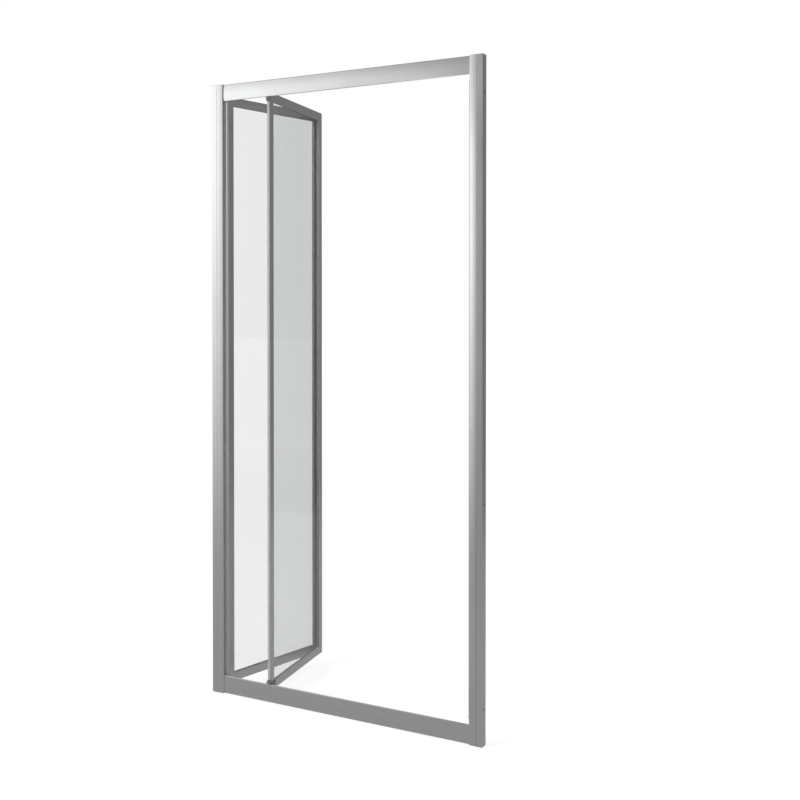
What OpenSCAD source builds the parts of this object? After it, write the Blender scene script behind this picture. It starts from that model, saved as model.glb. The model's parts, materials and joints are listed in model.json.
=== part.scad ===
// Bifold shower door for a recess: a framed pair of glazed leaves that folds into the shower.
// X runs across the opening, Y into the shower and Z up. The origin is on the underside of the
// threshold, at the middle of the opening and of the wall channels' depth. Millimetres.

/* [Door] */
// Width across both wall channels
door_w = 900; // [760:5:1000]
// Height from the tray to the top of the jamb caps
door_h = 1850; // [1700:5:2000]
// Depth of the wall channels, front to back
frame_d = 24; // [23:0.5:30]
// Angle of the hinge leaf from its closed line
fold_angle = 80; // [60:1:84]
// Angle at which the open stops meet the guide shoes
fold_limit = 84; // [84:0.5:85]

/* [Jambs] */
// Width of each jamb, wall channel and post together
jamb_w = 40; // [36:0.5:50]
// Width of the wall channels' flanges
channel_w = 18; // [15:0.5:22]
// Wall of the channels
channel_t = 1.5; // [1.2:0.1:2]
// Play between a post and its channel, on each side
post_play = 0.2; // [0.1:0.05:0.5]
// Wall of the posts
post_t = 1.5; // [1.2:0.1:2]
// Space behind a post that lets it be set upright
post_adjust = 5; // [4:0.5:8]
// Gap between a post's head and the edges of its channel
post_joint = 0.4; // [0.2:0.1:1]
// How far a post's crowned front falls back at its inner edge
post_crown = 1.9; // [1:0.1:4]
// Radius of the posts' long edges
post_edge_r = 2; // [1.9:0.1:3]
// Thickness of the jamb caps
cap_t = 1.5; // [1:0.1:3]
// Distance between the outer wall fixings
outer_fix_pitch = 1650; // [1400:10:1660]
// Distance between the inner wall fixings
inner_fix_pitch = 550; // [300:10:900]
// Distance between the screws that hold a post in its channel
post_screw_pitch = 700; // [500:10:750]
// Radius of the wall fixing holes
fix_hole_r = 2.75; // [2:0.05:3.5]

/* [Header and threshold] */
// Height of the header, jamb cap included
header_h = 51; // [46:0.5:60]
// Height of the threshold's front
sill_h = 54; // [48:0.5:60]
// Height of the threshold's back
sill_back_h = 30; // [26:0.5:34]
// Set-back of both rails behind the front of the wall channels
rail_setback = 4.5; // [4:0.1:5]
// Wall of both rails
rail_t = 1.5; // [1.2:0.1:2]
// Height of the rails' crowned front, at its middle
rail_crown = 1.4; // [0.5:0.1:2]
// Radius of the rails' long edges
rail_edge_r = 2; // [1.6:0.1:3]
// Clear width of the guide tracks
track_w = 14.8; // [14:0.1:15]
// Depth of the guide tracks
track_h = 13.5; // [12:0.5:14]
// Length of a drain slot
drain_l = 22; // [10:1:40]
// Height of a drain slot
drain_h = 4; // [2:0.5:6]
// Spacing of the drain slots
drain_pitch = 125; // [60:5:200]

/* [Leaves] */
// Thickness of the leaf frames
leaf_t = 10; // [9:0.5:12]
// Wall of the leaf frames
leaf_wall = 1.5; // [1.2:0.1:1.8]
// Width of the pivot and lead stiles, from their pin to the glass
stile_w = 20; // [19:0.5:30]
// Width of the stiles at the centre hinge
knuckle_stile_w = 23; // [21:0.5:32]
// Height of the leaves' top and bottom rails
leaf_rail_h = 26; // [24:0.5:40]
// Overlap of the header's front with the leaves
leaf_cover = 14; // [10:0.5:18]
// Gap between the leaves and the header's back
leaf_head_gap = 2; // [1:0.5:4]
// Gap between the leaves and the threshold's back
leaf_foot_gap = 3; // [2.5:0.5:6]
// Gap between the pivot stile's nose and the hinge post
hinge_gap = 5; // [4:0.5:8]
// Thickness of the moulded end caps
end_cap_t = 1.5; // [1:0.1:3]

/* [Glazing] */
// Thickness of the glass
glass_t = 4; // [3:1:5]
// Depth of the glazing grooves
glaze_depth = 9; // [7:0.5:10]
// Thickness of the gasket under the edge of the glass
gasket_foot = 1; // [0.5:0.1:2]
// How far the gasket shows beyond the frame
gasket_show = 1.2; // [0.5:0.1:2.5]

/* [Centre hinge] */
// Radius of the hinge barrels
barrel_r = 4.5; // [4:0.1:5]
// Radius of the hinge pin
hinge_pin_r = 2; // [1.5:0.1:2.5]
// Distance of the hinge pin in front of the leaves' outer faces
hinge_proud = 2.5; // [2:0.1:3.5]
// Gap between the two leaves when closed
meeting_gap = 1.6; // [1:0.1:3]
// Number of barrels, on both leaves together
barrel_count = 11; // [5:2:21]
// Thickness of the washers between barrels
washer_t = 1.2; // [0.8:0.1:2]
// End play of each barrel
barrel_play = 0.15; // [0.1:0.05:0.4]
// Clearance of the barrels from the other leaf
barrel_relief = 0.5; // [0.3:0.1:0.8]
// Distance of the first barrel above the threshold and below the header
barrel_margin = 7; // [6:0.5:30]
// Height of the heads at the ends of the hinge pin
pin_head_h = 2; // [1:0.1:3]

/* [Pivots and guides] */
// Radius of the pivot and guide pins
pin_r = 3; // [2.5:0.1:3.2]
// Running clearance of every pin in its bore
pin_play = 0.05; // [0.02:0.01:0.09]
// Radius of the collars on the pins
collar_r = 4.6; // [4:0.1:4.9]
// Length of the pin blocks inside the stiles
pin_block_l = 28; // [20:1:31]
// Play of the pin blocks in the stiles
pin_block_play = 0.1; // [0.05:0.05:0.3]
// Gap between the tips of the pins and the tracks
tip_gap = 1.5; // [1:0.1:2]
// Gap between faces that turn or slide on each other
face_gap = 0.1; // [0.05:0.01:0.2]
// Length of the pivot blocks
pivot_block_l = 30; // [26:0.5:36]
// Rim round the pockets and the screws of the pivot blocks
block_rim = 2.5; // [2:0.1:3]
// Play of blocks and shoes in the tracks, on each side
track_play = 0.5; // [0.4:0.05:0.8]
// Length of the guide shoes
shoe_l = 26; // [20:0.5:27]
// Thickness of the thrust washer
thrust_t = 1.3; // [1:0.1:2]
// Length of the open stops
stop_l = 12; // [8:0.5:20]

/* [Seals] */
// Thickness of the magnetic strip on the lead stile
lead_seal_t = 3.5; // [2.5:0.1:5]
// Thickness of the magnetic strip on the strike post
strike_seal_t = 4.8; // [3.5:0.1:6]
// Gap between the magnetic strips when closed
seal_gap = 0.7; // [0.4:0.1:1.5]
// Width of the magnetic strips
seal_w = 6.5; // [6:0.5:9]
// Width of the slots that hold the seals
seal_slot = 2; // [1.5:0.1:2.5]
// Width of the seals' roots behind the slots
seal_root_w = 4; // [3.5:0.1:5]
// Depth of the seals' roots
seal_root_t = 1.2; // [1:0.1:1.5]
// Play of the seals in their slots
seal_play = 0.1; // [0.05:0.05:0.3]
// Wall round the pockets that hold the posts' seals
pocket_wall = 1.2; // [0.8:0.1:1.5]
// Distance of the centre seal from the middle of the leaves
centre_seal_v = 1; // [0.5:0.1:2]
// Width of the centre seal
centre_seal_w = 2; // [1.5:0.1:2.5]
// Thickness of the soft fins
fin_t = 1.5; // [1:0.1:1.8]
// Clearance of the soft fins
fin_gap = 0.5; // [0.3:0.1:1]
// Height of the top closing bumper
top_bumper_h = 12; // [8:0.5:30]
// Height of the bottom closing bumper
foot_bumper_h = 10; // [8:0.5:20]
// Clearance of the bumpers from the post, the header and the threshold
bumper_gap = 1.5; // [1:0.1:2]
// Play of the bumpers on the lead stile
bumper_play = 0.1; // [0.05:0.05:0.2]
// Length of the guard plate on the foot of the lead stile
guard_l = 32; // [20:1:40]
// Thickness of the guard plate
guard_t = 1.2; // [0.8:0.1:2]
// Gap at the ends of the posts' and the lead stile's seals
seal_end_gap = 1; // [0.5:0.1:2]
// Thickness of the drip seals' roots
drip_root_t = 0.6; // [0.4:0.1:0.8]
// Gap between the centre seal and the lead leaf
centre_seal_gap = 0.3; // [0.2:0.1:0.5]

/* [Fasteners] */
// Radius of the frame screws' shanks
screw_r = 1.85; // [1.5:0.05:2]
// Radius of the frame screws' heads
screw_head_r = 2.7; // [2.5:0.1:2.9]
// Height of the frame screws' heads
screw_head_h = 2.4; // [1.6:0.1:3]
// Radius of the leaf screws' shanks
leaf_screw_r = 1.5; // [1.2:0.05:1.6]
// Radius of the leaf screws' heads
leaf_head_r = 2.5; // [2.2:0.1:2.6]
// Height of the leaf screws' heads
leaf_head_h = 2; // [1.4:0.1:2.2]
// Clearance of the shanks in screw ports and pilot holes
screw_play = 0.05; // [0.02:0.01:0.1]
// Clearance of the shanks in the pieces that they hold
screw_free = 0.2; // [0.1:0.05:0.3]
// Clearance round the heads that are sunk
head_free = 0.3; // [0.2:0.05:0.4]
// Depth of the sunk heads below the faces around them
head_sink = 0.4; // [0.2:0.1:0.8]
// Depth to which the screws reach into a rail
screw_grip = 18; // [10:1:30]
// How far the short screws reach beyond what they hold
screw_reach = 3; // [2:0.5:5]
// Wall of the screw ports
port_wall = 1.2; // [1:0.1:1.4]
// Width of the slits along the screw ports
port_slit = 1.2; // [0.8:0.1:1.6]
// Gap between the leaves' screw ports and what is above and below them
port_gap = 0.4; // [0.2:0.1:0.6]
// Radius of the snap covers
cover_r = 5.5; // [5:0.1:7]
// Height of the snap covers
cover_h = 4; // [3.5:0.1:6]

/* [Hidden] */
// Facets of small and large circles, and the overshoot of a cut
fine = 32;
broad = 180;
cut = 1;
// Overlap of shapes that are joined
lap = 1;
// Radii of the small edges of channels, hollows, leaf frames, seals, stops and the guard plate
channel_edge_r = 0.8;
small_edge_r = 0.1;
leaf_edge_r = 0.6;
seal_edge_r = 0.8;
stop_edge_r = 1.5;
guard_edge_r = 3;

// Colours
frame_colour = [0.76, 0.77, 0.76];
leaf_colour = [0.55, 0.56, 0.56];
glass_colour = [0.80, 0.87, 0.86, 0.35];
seal_colour = [0.62, 0.63, 0.63];
nylon_colour = [0.86, 0.86, 0.83];
black_colour = [0.13, 0.13, 0.14];
steel_colour = [0.70, 0.70, 0.72];

// Jambs, measured from the wall plane towards the opening
post_d = frame_d - 2 * (channel_t + post_play);
post_head_x = channel_w + post_joint;
post_head_w = jamb_w - post_head_x;
post_crown_r = crown_radius(post_head_w, post_crown);
post_top = door_h - cap_t;
post_screw_x = (post_adjust + channel_w) / 2;
post_screw_z = [for (s = [-1 : 1]) door_h / 2 + s * post_screw_pitch];
clear_w = door_w - 2 * jamb_w;

// Rails: the track lies between the two walls, and the pins run on its centre line
rail_front = rail_setback - frame_d / 2;
pivot_y = rail_front + rail_t + track_w / 2;
rail_back = pivot_y + track_w / 2 + rail_t;
rail_d = rail_back - rail_front;
header_foot = door_h - header_h;
leaf_top = header_foot + leaf_cover;
header_back_foot = leaf_top + leaf_head_gap;
header_roof = header_back_foot + track_h;
header_section_h = post_top - header_foot;
sill_floor = sill_back_h - track_h;
leaf_foot = sill_back_h + leaf_foot_gap;
port_r = screw_r + screw_play;
port_out_r = port_r + port_wall;
port_sink = 0.1;
port_y = [rail_front + rail_t + port_out_r - port_sink, rail_back - rail_t - port_out_r + port_sink];
header_port_z = (header_roof + post_top) / 2;
sill_port_z = sill_floor / 2;
drain_count = floor((clear_w - 2 * pivot_block_l - drain_l) / drain_pitch) + 1;
block_h = track_h - track_play;
block_screw_x = -clear_w / 2 + pivot_block_l - screw_head_r - block_rim;
block_seat = screw_head_h + head_sink;
shoe_h = track_h - 2 * track_play;

// Leaf plan: u runs from the pin to the centre hinge, v from the outer to the inner face
nose_r = leaf_t / 2;
hinge_v = -(nose_r + hinge_proud);
pivot_x = -clear_w / 2 + hinge_gap + nose_r;
guide_inset = nose_r + lead_seal_t + seal_gap + strike_seal_t;
arm = (clear_w / 2 - guide_inset - pivot_x) / 2;
leaf_end = arm - meeting_gap / 2;
rail_u0 = stile_w;
rail_u1 = leaf_end - knuckle_stile_w;
glaze_w = leaf_t - 2 * leaf_wall;
gasket_t = (glaze_w - glass_t) / 2;
chamber_u = stile_w - glaze_depth - leaf_wall;
hinge_root = barrel_r + barrel_relief + leaf_wall - meeting_gap / 2;
profile_foot = leaf_foot + end_cap_t;
profile_top = leaf_top - end_cap_t;
nose_inner_r = nose_r - leaf_wall;
leaf_chamber_h = leaf_rail_h - glaze_depth - 2 * leaf_wall;
leaf_port_r = leaf_screw_r + screw_play;
leaf_port_out_r = leaf_port_r + port_wall;
leaf_port_z = [leaf_wall + drip_root_t + port_gap + leaf_port_out_r,
               leaf_wall + leaf_chamber_h - port_gap - leaf_port_out_r];
leaf_head_u = leaf_end - leaf_head_h - head_sink;

// Where the lead leaf's pins stand in the tracks, and where they stand at the stops
function guide_x(angle) = pivot_x + 2 * (arm * cos(angle) - hinge_v * sin(angle));
lead_x = guide_x(fold_angle);
stop_x = guide_x(fold_limit) - shoe_l / 2 - track_play - stop_l;

// Centre hinge
barrel_z0 = sill_h + barrel_margin;
barrel_z1 = header_foot - barrel_margin;
barrel_pitch = (barrel_z1 - barrel_z0) / barrel_count;
barrel_gap = washer_t + 2 * barrel_play;

// Seals and bumpers stand between the threshold and the header, and the seals end clear of the
// bumpers and of the pin blocks in the lead stile
bumper_foot = sill_h + bumper_gap;
bumper_top = header_foot - bumper_gap;
seal_foot = max(bumper_foot + foot_bumper_h, leaf_foot + pin_block_l) + seal_end_gap;
seal_top = min(bumper_top - top_bumper_h, leaf_top - pin_block_l) - seal_end_gap;

// ---------------------------------------------------------------- shared shapes

// Rectangle with round corners, its low corner at the origin
module round_rect(w, d, r) {
    translate([r, 0])
        square([w - 2 * r, d]);
    translate([0, r])
        square([w, d - 2 * r]);
    for (x = [r, w - r], y = [r, d - r])
        translate([x, y])
            circle(r = r, $fn = fine);
}

// Half of a crowned section: from its foremost line at x = 0 the front falls back on an arc of
// radius crown_r, and turns on an edge of radius edge_r into the side at x = reach. Shrunk by inset.
module crown_half(reach, depth, crown_r, edge_r, inset) {
    edge_x = reach - edge_r;
    edge_y = crown_r - sqrt(pow(crown_r - edge_r, 2) - edge_x * edge_x);
    beyond = 1 + 2 * depth / crown_r;
    intersection() {
        translate([0, inset])
            square([reach - inset, depth - 2 * inset]);
        translate([0, crown_r])
            circle(r = crown_r - inset, $fn = broad);
        union() {
            translate([edge_x, edge_y])
                circle(r = max(edge_r - inset, small_edge_r), $fn = fine);
            polygon([[0, -depth], [beyond * edge_x, crown_r + beyond * (edge_y - crown_r)],
                     [edge_x, edge_y], [2 * reach, edge_y], [2 * reach, 2 * depth], [0, 2 * depth]]);
        }
    }
}

// Radius of an arc that falls back by sag at a distance of reach from its foremost line
function crown_radius(reach, sag) = (reach * reach + sag * sag) / (2 * sag);

// Screw port of an extrusion: a round boss whose bore is open on one side
module port_boss() {
    circle(r = port_out_r, $fn = fine);
}

module port_bore(slit_angle) {
    circle(r = port_r, $fn = fine);
    rotate(slit_angle)
        translate([0, -port_slit / 2])
            square([port_out_r + cut, port_slit]);
}

// Pan-head screw with its head's underside at the origin and its shank along +Z
module pan_screw(shank_r, head_r, head_h, length) {
    tip_l = shank_r;
    tip_r = shank_r / 4;
    head_taper = head_r / 4;
    cross_l = head_r;
    cross_w = 0.8;
    cross_depth = head_h / 2;
    cylinder(r = shank_r, h = length - tip_l, $fn = fine);
    translate([0, 0, length - tip_l])
        cylinder(r1 = shank_r, r2 = tip_r, h = tip_l, $fn = fine);
    difference() {
        translate([0, 0, -head_h])
            cylinder(r1 = head_r - head_taper, r2 = head_r, h = head_h, $fn = fine);
        for (a = [0, 90])
            rotate(a)
                translate([-cross_l / 2, -cross_w / 2, -head_h - cut])
                    cube([cross_l, cross_w, cut + cross_depth]);
    }
}

module frame_screw(length) {
    pan_screw(screw_r, screw_head_r, screw_head_h, length);
}

// Puts a piece drawn from the left wall plane at the left or the right of the opening
module at_jamb(side) {
    if (side == "left")
        translate([-door_w / 2, 0, 0])
            children();
    else
        translate([door_w / 2, 0, 0])
            mirror([1, 0, 0])
                children();
}

// Puts a piece drawn in a leaf's plan where the leaf stands
module at_leaf(leaf) {
    if (leaf == "hinge")
        translate([pivot_x, pivot_y, 0])
            rotate(fold_angle)
                children();
    else
        translate([lead_x, pivot_y, 0])
            rotate(-fold_angle)
                mirror([1, 0, 0])
                    children();
}

// ---------------------------------------------------------------- jambs

module channel_section() {
    flange_l = channel_w - channel_t / 2;
    difference() {
        translate([0, -frame_d / 2])
            round_rect(2 * flange_l, frame_d, channel_edge_r);
        translate([channel_t, channel_t - frame_d / 2])
            square([2 * flange_l, frame_d - 2 * channel_t]);
        translate([flange_l, -frame_d])
            square([2 * flange_l, 2 * frame_d]);
    }
    // round edges of the flanges
    for (s = [-1, 1])
        translate([flange_l, s * (frame_d - channel_t) / 2])
            circle(r = channel_t / 2, $fn = fine);
}

module wall_channel(side) {
    fix_z = [for (p = [outer_fix_pitch, inner_fix_pitch], s = [-1, 1]) door_h / 2 + s * p / 2];
    color(frame_colour)
        at_jamb(side)
            difference() {
                linear_extrude(post_top)
                    channel_section();
                for (z = fix_z)
                    translate([-cut, 0, z])
                        rotate([0, 90, 0])
                            cylinder(r = fix_hole_r, h = channel_t + 2 * cut, $fn = fine);
                for (z = post_screw_z)
                    translate([post_screw_x, frame_d / 2 + cut, z])
                        rotate([90, 0, 0])
                            cylinder(r = screw_r + screw_free, h = channel_t + 2 * cut, $fn = fine);
            }
}

// Outline of a post: a tongue that slides in the channel, and a head as deep as the channel with
// a crowned front. Shrunk by inset, but not towards the wall.
module post_outline(inset) {
    translate([post_adjust, inset - post_d / 2])
        square([post_head_x + 2 * post_t - post_adjust, post_d - 2 * inset]);
    translate([post_head_x, -frame_d / 2])
        intersection() {
            crown_half(post_head_w, frame_d, post_crown_r, post_edge_r, inset);
            translate([inset, 0])
                square([post_head_w, frame_d]);
            translate([-post_edge_r, inset])
                round_rect(post_head_w + post_edge_r - inset, frame_d - 2 * inset,
                           max(post_edge_r - inset, small_edge_r));
        }
}

module post_section() {
    difference() {
        post_outline(0);
        post_outline(post_t);
    }
}

// Pocket behind the inner face of a post, for the root of a seal, and the walls round it
module post_seal_pocket(width, depth) {
    translate([jamb_w - post_t - depth, pivot_y - width / 2])
        square([depth, width]);
}

module post(side) {
    seal_l = header_foot - sill_h;
    pocket_w = seal_root_w + 2 * seal_play;
    pocket_d = seal_root_t + seal_play;
    slot_w = seal_slot + 2 * seal_play;
    color(frame_colour)
        at_jamb(side)
            difference() {
                union() {
                    linear_extrude(post_top)
                        post_section();
                    // the pocket's walls are milled away where the rails meet the post
                    translate([0, 0, sill_h])
                        linear_extrude(seal_l)
                            post_seal_pocket(pocket_w + 2 * pocket_wall, pocket_d + pocket_wall);
                }
                translate([0, 0, sill_h - cut])
                    linear_extrude(seal_l + 2 * cut)
                        post_seal_pocket(pocket_w, pocket_d);
                translate([jamb_w - post_t - seal_play, pivot_y - slot_w / 2, sill_h])
                    cube([post_t + cut, slot_w, seal_l]);
                for (y = port_y, z = [sill_port_z, header_port_z])
                    translate([jamb_w - post_t - cut, y, z])
                        rotate([0, 90, 0])
                            cylinder(r = screw_r + screw_free, h = post_t + 2 * cut, $fn = fine);
                for (z = post_screw_z)
                    translate([post_screw_x, post_d / 2 + cut, z])
                        rotate([90, 0, 0])
                            cylinder(r = port_r, h = post_t + 2 * cut, $fn = fine);
            }
}

// Jamb cap: a plate over channel and post, with a plug in the post's hollow
module top_cap(side) {
    plug_play = 0.3;
    plug_h = 6;
    color(seal_colour)
        at_jamb(side) {
            translate([0, 0, post_top])
                linear_extrude(cap_t) {
                    post_outline(0);
                    translate([0, -frame_d / 2])
                        round_rect(channel_w, frame_d, channel_edge_r);
                    translate([channel_w - lap, -frame_d / 2])
                        square([post_joint + 2 * lap, frame_d]);
                }
            translate([0, 0, post_top - plug_h])
                linear_extrude(plug_h)
                    intersection() {
                        post_outline(post_t + plug_play);
                        translate([channel_w, -frame_d / 2])
                            square([jamb_w - channel_w, frame_d]);
                    }
        }
}

// ---------------------------------------------------------------- header and threshold

// Outline of a rail in Y and Z, crowned in front. Shrunk by inset.
module rail_outline(height, inset) {
    crown_r = crown_radius(height / 2, rail_crown);
    translate([rail_front, height / 2])
        for (side = [0, 1])
            mirror([0, side])
                rotate(90)
                    mirror([0, 1])
                        crown_half(height / 2, rail_d, crown_r, rail_edge_r, inset);
}

// Inside of a rail's front wall, carried on past the end of the wall
module rail_inside(height) {
    crown_r = crown_radius(height / 2, rail_crown);
    translate([rail_front + crown_r, height / 2])
        circle(r = crown_r - rail_t, $fn = broad);
}

// A rail drawn with its box at the foot and its track open above: the threshold as it stands,
// and the header upside down
module rail_section(height, floor_z, back_z, port_z) {
    difference() {
        rail_outline(height, 0);
        // hollow of the box
        difference() {
            intersection() {
                rail_outline(height, rail_t);
                translate([rail_front, 0])
                    square([rail_d, floor_z - rail_t]);
            }
            for (y = port_y)
                translate([y, port_z])
                    port_boss();
        }
        // track, and the opening above it
        intersection() {
            rail_inside(height);
            translate([rail_front, floor_z])
                square([rail_d - rail_t, height]);
        }
        translate([pivot_y, back_z])
            square([rail_d, height]);
        for (i = [0, 1])
            translate([port_y[i], port_z])
                port_bore(180 * i);
    }
}

// Extrudes a section drawn in Y and Z across the opening
module across_opening() {
    translate([-clear_w / 2, 0, 0])
        rotate([90, 0, 90])
            linear_extrude(clear_w)
                children();
}

module header_rail() {
    color(frame_colour)
        difference() {
            translate([0, 0, post_top])
                mirror([0, 0, 1])
                    across_opening()
                        rail_section(header_section_h, post_top - header_roof,
                                     post_top - header_back_foot, post_top - header_port_z);
            translate([block_screw_x, pivot_y, header_roof - cut])
                cylinder(r = port_r, h = rail_t + 2 * cut, $fn = fine);
        }
}

module sill_rail() {
    color(frame_colour)
        difference() {
            across_opening()
                rail_section(sill_h, sill_floor, sill_back_h, sill_port_z);
            translate([block_screw_x, pivot_y, sill_floor - rail_t - cut])
                cylinder(r = port_r, h = rail_t + 2 * cut, $fn = fine);
            for (i = [0 : drain_count - 1])
                translate([(i - (drain_count - 1) / 2) * drain_pitch - drain_l / 2,
                           rail_back - rail_t - cut, sill_floor])
                    cube([drain_l, rail_t + 2 * cut, drain_h]);
        }
}

// ---------------------------------------------------------------- frame fasteners

module frame_screws() {
    color(steel_colour)
        for (side = ["left", "right"], y = port_y, z = [sill_port_z, header_port_z])
            at_jamb(side)
                translate([jamb_w - post_t, y, z])
                    rotate([0, 90, 0])
                        frame_screw(post_t + screw_grip);
}

module post_screws(side) {
    color(steel_colour)
        at_jamb(side)
            for (z = post_screw_z)
                translate([post_screw_x, frame_d / 2, z])
                    rotate([90, 0, 0])
                        frame_screw(channel_t + post_play + post_t + screw_reach);
}

// Snap covers: domed caps over the heads of the post screws
module screw_covers(side) {
    dome_h = 1;
    color(nylon_colour)
        at_jamb(side)
            for (z = post_screw_z)
                translate([post_screw_x, frame_d / 2, z])
                    rotate([-90, 0, 0])
                        difference() {
                            union() {
                                cylinder(r = cover_r, h = cover_h - dome_h, $fn = fine);
                                translate([0, 0, cover_h - dome_h])
                                    cylinder(r1 = cover_r, r2 = cover_r - dome_h, h = dome_h, $fn = fine);
                            }
                            translate([0, 0, -cut])
                                cylinder(r = screw_head_r + head_free, h = cover_h - dome_h + cut,
                                         $fn = fine);
                        }
}

// ---------------------------------------------------------------- pivots, stops and guides

// Nylon bearing block, drawn from z = 0 up to the face that meets the track
module pivot_block() {
    block_d = track_w - 2 * track_play;
    waist = 0.6;
    difference() {
        translate([-clear_w / 2, pivot_y - block_d / 2, 0])
            difference() {
                cube([pivot_block_l, block_d, block_h]);
                // shallow pockets in both sides
                for (s = [0, 1])
                    translate([block_rim, s * block_d - waist, block_rim])
                        cube([pivot_block_l - 2 * block_rim, 2 * waist, block_h - 2 * block_rim]);
            }
        translate([pivot_x, pivot_y, -cut])
            cylinder(r = pin_r + pin_play, h = block_h + 2 * cut, $fn = fine);
        translate([block_screw_x, pivot_y, -cut])
            cylinder(r = screw_r + screw_free, h = block_h + 2 * cut, $fn = fine);
        translate([block_screw_x, pivot_y, -cut])
            cylinder(r = screw_head_r + head_free, h = block_seat + cut, $fn = fine);
    }
}

module top_pivot_block() {
    color(nylon_colour)
        translate([0, 0, header_roof - block_h])
            pivot_block();
}

module bottom_pivot_block() {
    color(nylon_colour)
        translate([0, 0, sill_floor + block_h])
            mirror([0, 0, 1])
                pivot_block();
}

module pivot_block_screws() {
    length = block_h - block_seat + rail_t + screw_reach;
    color(steel_colour) {
        translate([block_screw_x, pivot_y, header_roof - block_h + block_seat])
            frame_screw(length);
        translate([block_screw_x, pivot_y, sill_floor + block_h - block_seat])
            mirror([0, 0, 1])
                frame_screw(length);
    }
}

module thrust_washer() {
    color(black_colour)
        translate([pivot_x, pivot_y, sill_floor + block_h + face_gap])
            difference() {
                cylinder(r = collar_r, h = thrust_t, $fn = fine);
                translate([0, 0, -cut])
                    cylinder(r = pin_r + face_gap, h = thrust_t + 2 * cut, $fn = fine);
            }
}

// Buffers that the guide shoes meet when the door is folded back
module open_stops() {
    stop_d = track_w - 2 * track_play;
    color(black_colour)
        for (z = [sill_floor, header_roof - block_h])
            translate([stop_x, pivot_y - stop_d / 2, z])
                linear_extrude(block_h)
                    difference() {
                        round_rect(stop_l, stop_d, stop_edge_r);
                        translate([stop_l / 2, stop_d / 2])
                            circle(r = port_r, $fn = fine);
                    }
}

// Pin with its collar and the block that fills the end of a hollow stile. Drawn for a top
// corner: the stile's end is at z = 0, the pin points up and the block hangs below.
module stile_pin(pin_l, collar_h) {
    block_r = nose_inner_r - pin_block_play;
    translate([0, 0, -pin_block_l])
        linear_extrude(pin_block_l - end_cap_t) {
            circle(r = block_r, $fn = fine);
            translate([0, -block_r])
                square([chamber_u - leaf_head_h - head_free, 2 * block_r]);
        }
    translate([0, 0, -end_cap_t - cut])
        cylinder(r = pin_r, h = pin_l + end_cap_t + cut, $fn = fine);
    cylinder(r = collar_r, h = collar_h, $fn = fine);
}

module top_pivot_pin() {
    color(steel_colour)
        at_leaf("hinge")
            translate([0, 0, leaf_top])
                stile_pin(header_roof - leaf_top - tip_gap, leaf_head_gap - track_play);
}

module bottom_pivot_pin() {
    color(steel_colour)
        at_leaf("hinge")
            translate([0, 0, leaf_foot])
                mirror([0, 0, 1])
                    stile_pin(leaf_foot - sill_floor - tip_gap,
                              leaf_foot - (sill_floor + block_h + thrust_t + 2 * face_gap));
}

module top_guide_pin() {
    color(steel_colour)
        at_leaf("lead")
            translate([0, 0, leaf_top])
                stile_pin(header_roof - leaf_top - tip_gap, leaf_head_gap + track_play - 2 * face_gap);
}

module bottom_guide_pin() {
    color(steel_colour)
        at_leaf("lead")
            translate([0, 0, leaf_foot])
                mirror([0, 0, 1])
                    stile_pin(leaf_foot - sill_floor - tip_gap, leaf_foot_gap - 2 * face_gap);
}

// Guide shoe: a slider with round ends, bored for the guide pin
module guide_shoe(height) {
    shoe_r = track_w / 2 - track_play;
    linear_extrude(height)
        difference() {
            union() {
                for (s = [-1, 1])
                    translate([s * (shoe_l / 2 - shoe_r), 0])
                        circle(r = shoe_r, $fn = 2 * fine);
                translate([-(shoe_l / 2 - shoe_r), -shoe_r])
                    square([shoe_l - 2 * shoe_r, 2 * shoe_r]);
            }
            circle(r = pin_r + pin_play, $fn = fine);
        }
}

module top_guide_shoe() {
    color(nylon_colour)
        translate([lead_x, pivot_y, header_back_foot + track_play])
            guide_shoe(shoe_h);
}

module bottom_guide_shoe() {
    color(nylon_colour)
        translate([lead_x, pivot_y, sill_floor + face_gap])
            guide_shoe(shoe_h);
}

// ---------------------------------------------------------------- leaf frames

// Pivot and lead stiles: a round nose about the pin, a chamber and the glazing groove
module nose_stile_section() {
    lip_l = 6;
    difference() {
        union() {
            circle(r = nose_r, $fn = 2 * fine);
            translate([0, -nose_r])
                square([stile_w - lip_l / 2, leaf_t]);
            translate([stile_w - lip_l, -nose_r])
                round_rect(lip_l, leaf_t, leaf_edge_r);
        }
        circle(r = nose_inner_r, $fn = 2 * fine);
        translate([0, -nose_inner_r])
            square([chamber_u, 2 * nose_inner_r]);
        translate([stile_w - glaze_depth, -glaze_w / 2])
            square([glaze_depth + cut, glaze_w]);
    }
}

// Heights of the leaf screws, in the ports of both rails
leaf_screw_z = [for (z = leaf_port_z) for (level = [leaf_foot + z, leaf_top - z]) level];

module nose_stile() {
    difference() {
        translate([0, 0, profile_foot])
            linear_extrude(profile_top - profile_foot)
                nose_stile_section();
        for (level = leaf_screw_z)
            translate([0, 0, level])
                rotate([0, 90, 0]) {
                    translate([0, 0, -nose_r - cut])
                        cylinder(r = leaf_head_r + head_free, h = nose_r + cut, $fn = fine);
                    cylinder(r = leaf_screw_r + screw_free, h = stile_w, $fn = fine);
                }
    }
}

// Stile at the centre hinge: glazing groove, chamber and a solid root that carries the barrels
module knuckle_stile_section() {
    u0 = leaf_end - knuckle_stile_w;
    difference() {
        translate([u0, -nose_r])
            round_rect(knuckle_stile_w, leaf_t, leaf_edge_r);
        translate([u0 - cut, -glaze_w / 2])
            square([glaze_depth + cut, glaze_w]);
        translate([u0 + glaze_depth + leaf_wall, -glaze_w / 2])
            square([knuckle_stile_w - glaze_depth - leaf_wall - hinge_root, glaze_w]);
    }
}

// Height range of one barrel
function barrel_span(i) = [barrel_z0 + i * barrel_pitch + barrel_gap / 2,
                           barrel_z0 + (i + 1) * barrel_pitch - barrel_gap / 2];

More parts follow.
